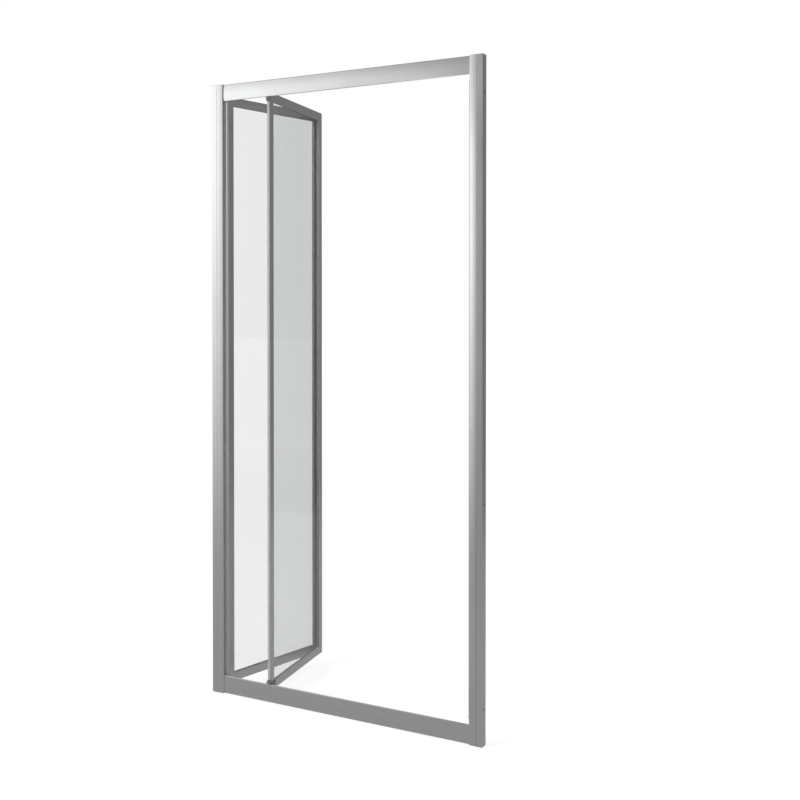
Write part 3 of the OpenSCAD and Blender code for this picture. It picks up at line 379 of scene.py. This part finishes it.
# each leaf's own plan has X along the leaf, from its pivot or its guide, and Y across it
flip = Matrix.Scale(-1, 4, (1, 0, 0))
leaf_place = {
    "hinge": Matrix.Translation(pivot) @ Matrix.Rotation(lean, 4, "Z"),
    "lead": Matrix.Translation(guide) @ Matrix.Rotation(-lean, 4, "Z") @ flip,
}
leaf_silver = (0.78, 0.795, 0.78)
dress(drawn_metal("leaf_upright", leaf_silver),
      "hinge_leaf_pivot_stile", "hinge_leaf_knuckle_stile",
      "lead_leaf_lead_stile", "lead_leaf_knuckle_stile")
for leaf, turn in (("hinge", -lean), ("lead", lean)):
    laid = Matrix.Rotation(quarter, 3, "Y") @ Matrix.Rotation(turn, 3, "Z")
    dress(drawn_metal("leaf_across_" + leaf, leaf_silver, laid.to_euler("XYZ")),
          leaf + "_leaf_top_rail", leaf + "_leaf_bottom_rail")


# ---------------------------------------------------------------- glass
# Clear 4 mm tempered panes with the faint green of plain float glass. Only the gaskets hold them,
# so that they never touch the metal.
def clear_glass():
    """Glass that refracts what is seen through it, and lets the lamps' light straight through."""
    finish = bpy.data.materials.new("clear_glass")
    finish.use_nodes = True
    tree = finish.node_tree
    coords = add_node(tree, "ShaderNodeTexCoord", {})
    ream = add_node(tree, "ShaderNodeTexNoise", {"Vector": coords.outputs["Object"], "Scale": 3,
                                                 "Detail": 1})
    tint = add_node(tree, "ShaderNodeMix", {0: ream.outputs["Fac"], 6: (0.877, 0.889, 0.881, 1),
                                            7: (0.887, 0.899, 0.891, 1)}, data_type="RGBA")
    shader = tree.nodes["Principled BSDF"]
    tree.links.new(tint.outputs[2], shader.inputs["Base Color"])
    shader.inputs["Transmission Weight"].default_value = 1
    shader.inputs["Roughness"].default_value = 0
    shader.inputs["IOR"].default_value = 1.5
    rays = add_node(tree, "ShaderNodeLightPath", {})
    through = add_node(tree, "ShaderNodeBsdfTransparent", {"Color": (0.9, 0.91, 0.9, 1)})
    both = add_node(tree, "ShaderNodeMixShader", {0: rays.outputs["Is Shadow Ray"],
                                                  1: shader.outputs["BSDF"],
                                                  2: through.outputs["BSDF"]})
    tree.links.new(both.outputs["Shader"], tree.nodes["Material Output"].inputs["Surface"])
    return finish


dress(clear_glass(), "hinge_leaf_glass", "lead_leaf_glass")


# ---------------------------------------------------------------- glazing gaskets
# Grey rubber channel pushed round each pane, in four lengths mitred at the corners. Its two lips
# show beside the frame and slope down to the glass.
def leaf_box(leaf, node):
    """A CAD node's lowest and highest corners in its leaf's own plan: along, across and up."""
    back = leaf_place[leaf].inverted()
    spots = [back @ corner.co for corner in parts[node].data.vertices]
    return (Vector(min(s[i] for s in spots) for i in range(3)),
            Vector(max(s[i] for s in spots) for i in range(3)))


def pull_out(section, pull):
    """Pulls a flat section out into a solid length."""
    grown = bmesh.ops.extrude_face_region(section, geom=section.faces[:])["geom"]
    bmesh.ops.translate(section, verts=[item for item in grown if isinstance(item, bmesh.types.BMVert)],
                        vec=pull)


lip_show = 0.0012
lip_top = 0.0004
lip_round = 0.0004
on_corner = lip_round / 9
on_mitre = 0.0000001
gasket_rubber = moulded_plastic("gasket_rubber", (0.20, 0.205, 0.205), gloss=0.5, grain=1800)


def gasket_length(half_span, sight, depth, foot, half_w, half_glass):
    """A length of gasket along X, open towards +Z, with its sight edge at Z = sight. Its mitred
    ends are left open, for the next length to join."""
    length = bmesh.new()
    low = sight - depth
    top = sight + lip_show
    across = [(-half_w, low), (half_w, low), (half_w, sight), (half_w - lip_top, top),
              (half_glass, top), (half_glass, low + foot), (-half_glass, low + foot),
              (-half_glass, top), (-half_w + lip_top, top), (-half_w, sight)]
    length.faces.new([length.verts.new((-2 * half_span, y, z)) for y, z in across])
    pull_out(length, (4 * half_span, 0, 0))
    lips = [edge for edge in length.edges
            if all(abs(abs(v.co.y) - half_w + lip_top) < on_corner and v.co.z > sight
                   for v in edge.verts)]
    bmesh.ops.bevel(length, geom=lips, offset=lip_round, segments=3, affect="EDGES", profile=0.5,
                    material=-1)
    for end in (-1, 1):
        bmesh.ops.bisect_plane(length, geom=length.verts[:] + length.edges[:] + length.faces[:],
                               dist=on_mitre, plane_co=(end * half_span, 0, sight),
                               plane_no=(end, 0, 1), clear_outer=True)
    return length


def leaf_gasket(leaf):
    """The four lengths of a leaf's gasket, joined at their mitres into a ring round the pane."""
    node = leaf + "_leaf_gasket"
    low, high = leaf_box(leaf, node)
    rail_low = leaf_box(leaf, leaf + "_leaf_bottom_rail")[0]
    pane_low, pane_high = leaf_box(leaf, leaf + "_leaf_glass")
    depth = rail_low.x - low.x
    foot = pane_low.x - low.x
    middle = (low + high) / 2
    half_w = (high.y - low.y) / 2
    half_glass = (pane_high.y - pane_low.y) / 2
    half_wide = (high.x - low.x) / 2 - depth
    half_tall = (high.z - low.z) / 2 - depth
    gasket = bmesh.new()
    for turn in range(4):
        span, reach = (half_wide, half_tall) if turn % 2 == 0 else (half_tall, half_wide)
        length = gasket_length(span, -reach, depth, foot, half_w, half_glass)
        bmesh.ops.rotate(length, verts=length.verts, cent=(0, 0, 0),
                         matrix=Matrix.Rotation(turn * quarter, 3, "Y"))
        join_into(gasket, length)
    bmesh.ops.translate(gasket, verts=gasket.verts, vec=middle)
    bmesh.ops.transform(gasket, verts=gasket.verts, matrix=leaf_place[leaf])
    finished_piece(gasket, leaf + "_glazing_gasket", leaf + "_leaf", "glazing_rubber",
                   gasket_rubber, node)


for leaf in ("hinge", "lead"):
    leaf_gasket(leaf)


# ---------------------------------------------------------------- fin, lip and drip seals
# Soft grey vinyl, extruded and slid into its grooves: a fin with a rounded tip beside the pivot
# stile, a lip between the two leaves, and a pair of thin blades under each bottom rail.
soft_grey = moulded_plastic("soft_grey", (0.36, 0.367, 0.367), gloss=0.42, grain=1500, sheen=0.1)


def mirrored_outline(half):
    """Corners of a section, given as (along, across, rounding) for one side of its middle line."""
    return half + [(along, -across, rounding) for along, across, rounding in reversed(half)]


def soft_strip(corners, middle, start, pull):
    """Pulls a section out into a strip. Its corners are put in place by start, and rounded first."""
    strip = bmesh.new()
    verts = [strip.verts.new(start(along, middle + across)) for along, across, rounding in corners]
    strip.faces.new(verts)
    for vert, (along, across, rounding) in zip(verts, corners):
        if rounding:
            bmesh.ops.bevel(strip, geom=[vert], offset=rounding, segments=4, affect="VERTICES",
                            profile=0.5, material=-1)
    pull_out(strip, pull)
    return strip


def hinge_fin():
    """A foot in the post's groove, a thin fin, and a thick rounded tip beside the pivot stile."""
    low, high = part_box("hinge_seal")
    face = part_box("hinge_post")[1].x
    root_t = 0.0012
    root_half = (high.y - low.y) / 2
    slot_half = 0.00075
    slot_out = 0.0003
    fin_out = 0.0009
    fin_half = 0.0004
    tip = 0.0012
    tip_slope = 0.0004
    tip_round = 0.0006
    edge = 0.0002
    half = [(low.x, root_half, edge), (low.x + root_t, root_half, edge),
            (low.x + root_t, slot_half, 0), (face + slot_out, slot_half, edge),
            (face + fin_out, fin_half, edge), (high.x - tip - tip_slope, fin_half, edge),
            (high.x - tip, slot_half, edge), (high.x, slot_half, tip_round)]
    fin = soft_strip(mirrored_outline(half), (low.y + high.y) / 2, lambda x, y: (x, y, low.z),
                     (0, 0, high.z - low.z))
    finished_piece(fin, "hinge_fin_seal", "frame", "soft_seal", soft_grey, "hinge_seal")


def meeting_lip():
    """A strip in the groove of the knuckle stile, with a shallow neck and a rounded lip outside."""
    low, high = leaf_box("hinge", "centre_seal")
    root_t = 0.0012
    face = low.x + root_t
    half_w = (high.y - low.y) / 2
    neck = 0.0002
    lip_edge = 0.0001
    tip_round = 0.0007
    half = [(low.x, half_w, 0), (face, half_w, 0), (face, half_w - neck, 0),
            (face + neck, half_w - neck, 0), (face + 2 * neck, half_w, lip_edge),
            (high.x, half_w, tip_round)]
    lip = soft_strip(mirrored_outline(half), (low.y + high.y) / 2, lambda u, v: (u, v, low.z),
                     (0, 0, high.z - low.z))
    bmesh.ops.transform(lip, verts=lip.verts, matrix=leaf_place["hinge"])
    finished_piece(lip, "meeting_lip_seal", "hinge_leaf", "soft_seal", soft_grey, "centre_seal")


def drip_blades(leaf):
    """A root under the bottom rail, and two blades that hang from it with a narrow gap between."""
    low, high = leaf_box(leaf, leaf + "_leaf_drip_seal")
    root_t = 0.0006
    root_half = (high.y - low.y) / 2
    blade_half = 0.00075
    tip_gap = 0.00042
    gap_h = 0.0019
    edge = 0.00015
    tip_edge = 0.0001
    half = [(high.z, root_half, edge), (high.z - root_t, root_half, edge),
            (high.z - root_t, blade_half, 0), (low.z, blade_half, tip_edge),
            (low.z, tip_gap, tip_edge), (low.z + gap_h, tip_gap / 2, edge)]
    blades = soft_strip(mirrored_outline(half), (low.y + high.y) / 2, lambda z, v: (low.x, v, z),
                        (high.x - low.x, 0, 0))
    bmesh.ops.transform(blades, verts=blades.verts, matrix=leaf_place[leaf])
    finished_piece(blades, leaf + "_leaf_drip_blades", leaf + "_leaf", "soft_seal", soft_grey,
                   leaf + "_leaf_drip_seal")


hinge_fin()
meeting_lip()
for leaf in ("hinge", "lead"):
    drip_blades(leaf)


# ---------------------------------------------------------------- magnetic strips
# Grey vinyl with a pocket that holds a flat magnet, one strip in the strike post and one hollowed
# to sit on the nose of the lead stile. The magnet's dark ends show, set back in the pocket.
magnet_grey = moulded_plastic("magnet_grey", (0.34, 0.35, 0.35), gloss=0.38, grain=1700)
magnet_core = moulded_plastic("magnet_core", (0.035, 0.034, 0.033), gloss=0.55, grain=900)
pocket_skin = 0.00035
pocket_corner = 0.0004
pocket_round = 0.0008
core_setback = 0.002
core_draft = 0.00001
vinyl_edge = 0.0002
root_t = 0.0012
root_half = 0.002
neck_half = 0.001


def magnetic_strip(name, body, node, carrier, pocket, rise, place):
    """A strip from two outlines that share an edge: what holds it, and the magnet's pocket."""
    strip = bmesh.new()
    placed = {}
    for outline in (carrier, pocket):
        for along, across, rounding in outline:
            if (along, across) not in placed:
                placed[along, across] = strip.verts.new((along, across, rise[0]))
        strip.faces.new([placed[along, across] for along, across, rounding in outline])
    for outline in (carrier, pocket):
        for along, across, rounding in outline:
            if rounding:
                bmesh.ops.bevel(strip, geom=[placed[along, across]], offset=rounding, segments=4,
                                affect="VERTICES", profile=0.5, material=-1)
    pull_out(strip, (0, 0, rise[1] - rise[0]))
    bmesh.ops.recalc_face_normals(strip, faces=strip.faces)
    waist = pocket[0][0]
    inwards = sum(along for along, across, rounding in pocket) / len(pocket) - waist
    caps = [face for face in strip.faces if abs(face.normal.z) > 0.9]
    ends = [face for face in caps if (face.calc_center_median().x - waist) * inwards > 0]
    bmesh.ops.inset_individual(strip, faces=ends, thickness=pocket_skin, depth=0, use_even_offset=True)
    bmesh.ops.inset_individual(strip, faces=ends, thickness=core_draft, depth=-core_setback,
                               use_even_offset=True)
    for face in ends:
        face.material_index = 1
    bmesh.ops.transform(strip, verts=strip.verts, matrix=place)
    piece = finished_piece(strip, name, body, "magnet_strip", magnet_grey, node)
    piece.data.materials.append(magnet_core)


def strike_strip():
    """The strip of the strike post, held by a root in its groove, with a flange on its face."""
    low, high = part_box("strike_seal")
    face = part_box("strike_post")[0].x
    middle = (low.y + high.y) / 2
    half_w = (high.y - low.y) / 2
    flange = 0.0007
    waist = 0.0016
    waist_half = 0.0022
    carrier = [(face - waist, waist_half, 0), (face - flange, waist_half, 0),
               (face - flange, half_w, vinyl_edge), (face, half_w, vinyl_edge), (face, neck_half, 0),
               (high.x - root_t, neck_half, 0), (high.x - root_t, root_half, vinyl_edge),
               (high.x, root_half, vinyl_edge)]
    pocket = [(face - waist, waist_half, 0), (face - waist, half_w, pocket_corner),
              (low.x, half_w, pocket_round)]
    magnetic_strip("strike_magnet_strip", "frame", "strike_seal", mirrored_outline(carrier),
                   mirrored_outline(pocket), (low.z, high.z), Matrix.Translation((0, middle, 0)))


def lead_strip():
    """The strip of the lead stile, hollowed on its inner side to sit on the round of the nose."""
    low, high = leaf_box("lead", "lead_seal")
    nose_r = -leaf_box("lead", "lead_leaf_lead_stile")[0].x
    nose_steps = 5
    half_w = (high.y - low.y) / 2
    saddle = 0.0008
    waist = -nose_r - saddle
    waist_half = 0.0026
    waist_l = 0.0004
    flare_l = 0.0007
    carrier = [(waist, waist_half, 0), (waist + waist_l, waist_half, 0),
               (waist + flare_l, half_w, vinyl_edge)]
    for step in range(nose_steps + 1):
        across = half_w + (neck_half - half_w) * step / nose_steps
        carrier.append((-math.sqrt(nose_r * nose_r - across * across), across, 0))
    carrier += [(high.x - root_t, neck_half, 0), (high.x - root_t, root_half, vinyl_edge),
                (high.x, root_half, vinyl_edge)]
    pocket = [(waist, waist_half, 0), (waist, half_w, pocket_corner), (low.x, half_w, pocket_round)]
    magnetic_strip("lead_magnet_strip", "lead_leaf", "lead_seal", mirrored_outline(carrier),
                   mirrored_outline(pocket), (low.z, high.z), leaf_place["lead"])


strike_strip()
lead_strip()


# ---------------------------------------------------------------- studio
# A white floor and background, one soft key lamp, a fill, and grey reflector cards that only
# reflections see, so that the metal has shape.
def glow(name, colour, strength=1.0):
    """A material that gives light and takes none, with its node tree and its light node."""
    finish = bpy.data.materials.new(name)
    finish.use_nodes = True
    tree = finish.node_tree
    tree.nodes.remove(tree.nodes["Principled BSDF"])
    light = add_node(tree, "ShaderNodeEmission", {"Color": colour, "Strength": strength})
    tree.links.new(light.outputs["Emission"], tree.nodes["Material Output"].inputs["Surface"])
    return finish, tree, light


def ray_mask(tree):
    """1 for what the camera sees directly, mirrored or through glass."""
    rays = add_node(tree, "ShaderNodeLightPath", {})
    seen = add_node(tree, "ShaderNodeMath", {0: rays.outputs["Is Camera Ray"],
                                             1: rays.outputs["Is Glossy Ray"]}, operation="MAXIMUM")
    return add_node(tree, "ShaderNodeMath", {0: seen.outputs["Value"],
                                             1: rays.outputs["Is Transmission Ray"]},
                    operation="MAXIMUM").outputs["Value"]


world = bpy.data.worlds.new("studio")
world.use_nodes = True
scene.world = world
sky = world.node_tree
ambient = sky.nodes["Background"]
ambient.inputs["Color"].default_value = (1, 1, 1, 1)
ambient.inputs["Strength"].default_value = 0.8
white = add_node(sky, "ShaderNodeBackground", {"Color": (1, 1, 1, 1), "Strength": 1.0})
sky_mix = add_node(sky, "ShaderNodeMixShader", {0: ray_mask(sky), 1: ambient.outputs["Background"],
                                                2: white.outputs["Background"]})
sky.links.new(sky_mix.outputs["Shader"], sky.nodes["World Output"].inputs["Surface"])

floor_reach = 30
floor_work = bmesh.new()
bmesh.ops.create_grid(floor_work, x_segments=1, y_segments=1, size=floor_reach)
floor_mesh = bpy.data.meshes.new("floor")
floor_work.to_mesh(floor_mesh)
floor_work.free()
floor = bpy.data.objects.new("floor", floor_mesh)
scene.collection.objects.link(floor)
floor_finish, floor_tree, floor_glow = glow("floor_white", (1, 1, 1, 1), 1.04)
floor_coords = add_node(floor_tree, "ShaderNodeTexCoord", {})
far_off = add_node(floor_tree, "ShaderNodeVectorMath", {0: floor_coords.outputs["Object"]},
                   operation="LENGTH")
# the glow takes over from the lit floor beyond the shadow, so that no horizon shows
glow_share = add_node(floor_tree, "ShaderNodeMapRange",
                      {"Value": far_off.outputs["Value"], "From Min": 2.5, "From Max": 6,
                       "To Min": 0.72, "To Max": 1})
floor_share = add_node(floor_tree, "ShaderNodeMath",
                       {0: ray_mask(floor_tree), 1: glow_share.outputs["Result"]}, operation="MULTIPLY")
floor_lit = add_node(floor_tree, "ShaderNodeBsdfDiffuse", {"Color": (0.95, 0.95, 0.95, 1)})
floor_mix = add_node(floor_tree, "ShaderNodeMixShader", {0: floor_share.outputs["Value"],
                                                         1: floor_lit.outputs["BSDF"],
                                                         2: floor_glow.outputs["Emission"]})
floor_tree.links.new(floor_mix.outputs["Shader"], floor_tree.nodes["Material Output"].inputs["Surface"])
floor_mesh.materials.append(floor_finish)


def mirrored_only(finish, tree, light, share=1.0):
    """Makes a card's material clear except in reflections, where its share shows."""
    rays = add_node(tree, "ShaderNodeLightPath", {})
    mirrored = add_node(tree, "ShaderNodeMath", {0: rays.outputs["Glossy Depth"], 1: 0.5},
                        operation="GREATER_THAN")
    seen = add_node(tree, "ShaderNodeMath", {0: mirrored.outputs["Value"], 1: share},
                    operation="MULTIPLY")
    clear = add_node(tree, "ShaderNodeBsdfTransparent", {})
    both = add_node(tree, "ShaderNodeMixShader", {0: seen.outputs["Value"],
                                                  1: clear.outputs["BSDF"],
                                                  2: light.outputs["Emission"]})
    tree.links.new(both.outputs["Shader"], tree.nodes["Material Output"].inputs["Surface"])
    return finish


def reflector(name, work, finish):
    """A card that is seen only in reflections."""
    mesh = bpy.data.meshes.new(name)
    work.to_mesh(mesh)
    work.free()
    mesh.materials.append(finish)
    card = bpy.data.objects.new(name, mesh)
    scene.collection.objects.link(card)
    card.visible_camera = False
    card.visible_diffuse = False
    card.visible_volume_scatter = False
    card.visible_shadow = False


tent_r = 3.0
tent_h = 3.4
card_lift = 0.0004
floor_card = bmesh.new()
bmesh.ops.create_circle(floor_card, cap_ends=True, segments=64, radius=tent_r)
bmesh.ops.translate(floor_card, verts=floor_card.verts, vec=(0, 0, card_lift))
reflector("floor_card", floor_card, mirrored_only(*glow("floor_card_grey", (0.33, 0.33, 0.33, 1))))

# The tent stands round the door. It is bright at the front left, more so high up, and dark at the
# right and behind. Its bearing is 0 at the front and grows towards the left.
tent_finish, tent_tree, tent_glow = glow("tent_grey", (1, 1, 1, 1))
tent_coords = add_node(tent_tree, "ShaderNodeTexCoord", {})
tent_xyz = add_node(tent_tree, "ShaderNodeSeparateXYZ", {0: tent_coords.outputs["Object"]})
to_left = add_node(tent_tree, "ShaderNodeMath", {0: tent_xyz.outputs["X"], 1: -1}, operation="MULTIPLY")
to_front = add_node(tent_tree, "ShaderNodeMath", {0: tent_xyz.outputs["Y"], 1: -1}, operation="MULTIPLY")
bearing = add_node(tent_tree, "ShaderNodeMath", {0: to_left.outputs["Value"],
                                                 1: to_front.outputs["Value"]}, operation="ARCTAN2")


def ramp(value, start, end, low, high, change="SMOOTHSTEP"):
    """A change from low to high as value goes from start to end."""
    return add_node(tent_tree, "ShaderNodeMapRange",
                    {"Value": value, "From Min": start, "From Max": end, "To Min": low, "To Max": high},
                    interpolation_type=change).outputs["Result"]


def times(first, second):
    """The product of two values."""
    return add_node(tent_tree, "ShaderNodeMath", {0: first, 1: second},
                    operation="MULTIPLY").outputs["Value"]


turn_to = bearing.outputs["Value"]
opening = add_node(tent_tree, "ShaderNodeMath",
                   {0: ramp(turn_to, math.radians(16.5), math.radians(44), 0, 1, "LINEAR"), 1: 0.7},
                   operation="POWER").outputs["Value"]
open_side = times(opening, ramp(turn_to, math.radians(78), math.radians(106), 1, 0))
rise = times(ramp(tent_xyz.outputs["Z"], 0, 2.1, 0.46, 1.50, "LINEAR"),
             ramp(tent_xyz.outputs["Z"], 2.3, 3.3, 1, 0.35))
shade_side = ramp(turn_to, math.radians(-105), math.radians(-70), 0.20, 0.30)
tent_light = add_node(tent_tree, "ShaderNodeMix", {0: open_side, 2: shade_side, 3: rise})
tent_tree.links.new(tent_light.outputs[0], tent_glow.inputs["Strength"])
tent = bmesh.new()
rod = [tent.verts.new((tent_r, 0, 0)), tent.verts.new((tent_r, 0, tent_h))]
bmesh.ops.spin(tent, geom=rod + [tent.edges.new(rod)], cent=(0, 0, 0), axis=(0, 0, 1), dvec=(0, 0, 0),
               angle=2 * math.pi, steps=96, use_merge=True, use_duplicate=False)
reflector("tent", tent, mirrored_only(tent_finish, tent_tree, tent_glow))

ceiling_card = bmesh.new()
bmesh.ops.create_circle(ceiling_card, cap_ends=True, segments=64, radius=tent_r)
bmesh.ops.translate(ceiling_card, verts=ceiling_card.verts, vec=(0, 0, tent_h))
reflector("ceiling_card", ceiling_card, mirrored_only(*glow("ceiling_card_grey", (0.28, 0.28, 0.28, 1))))


# Two narrow cards with faded edges stand about half a metre before the right jamb: a bright one for
# the crown of the post and a grey one for the flat channel. The nose of the lead stile sees the
# first edge-on.
def jamb_card(name, start, end, top, rise_start, low_level, high_level):
    """A card from start to end in plan, whose light goes from one level to another with height."""
    rise_end = 1.4
    side_fade = 0.04
    top_fade = 0.12
    finish, tree, light = glow(name, (1, 1, 1, 1))
    coords = add_node(tree, "ShaderNodeTexCoord", {})
    place = add_node(tree, "ShaderNodeSeparateXYZ", {0: coords.outputs["Object"]})
    strength = add_node(tree, "ShaderNodeMapRange",
                        {"Value": place.outputs["Z"], "From Min": rise_start, "From Max": rise_end,
                         "To Min": low_level, "To Max": high_level})
    tree.links.new(strength.outputs["Result"], light.inputs["Strength"])
    share = 1.0
    for axis, edge, inner in (("X", start[0], start[0] + side_fade), ("X", end[0], end[0] - side_fade),
                              ("Z", top, top - top_fade)):
        fade = add_node(tree, "ShaderNodeMapRange",
                        {"Value": place.outputs[axis], "From Min": edge, "From Max": inner},
                        interpolation_type="SMOOTHSTEP")
        share = add_node(tree, "ShaderNodeMath", {0: fade.outputs["Result"], 1: share},
                         operation="MULTIPLY").outputs["Value"]
    card = bmesh.new()
    card.faces.new([card.verts.new((*spot, z)) for spot, z in
                    ((start, 0), (end, 0), (end, top), (start, top))])
    reflector(name, card, mirrored_only(finish, tree, light, share))


jamb_card("crown_card", (0.01, -0.295), (0.168, -0.475), 1.81, 0.4, 0.40, 1.45)
jamb_card("channel_card", (0.155, -0.5), (0.44, -0.5), 1.85, 0.1, 0.33, 0.12)


def soft_lamp(name, place, size, power):
    """A square lamp that faces the middle of the door."""
    data = bpy.data.lights.new(name, "AREA")
    data.size = size
    data.energy = power
    lamp = bpy.data.objects.new(name, data)
    lamp.location = place
    aim = (cad_low + cad_high) / 2 - Vector(place)
    lamp.rotation_mode = "QUATERNION"
    lamp.rotation_quaternion = aim.to_track_quat("-Z", "Y")
    lamp.visible_glossy = False
    scene.collection.objects.link(lamp)


soft_lamp("key_lamp", (-2.6, -3.4, 3.2), 2.4, 130)
soft_lamp("fill_lamp", (3.2, -1.2, 2.6), 2.4, 40)

scene.view_settings.view_transform = "Standard"
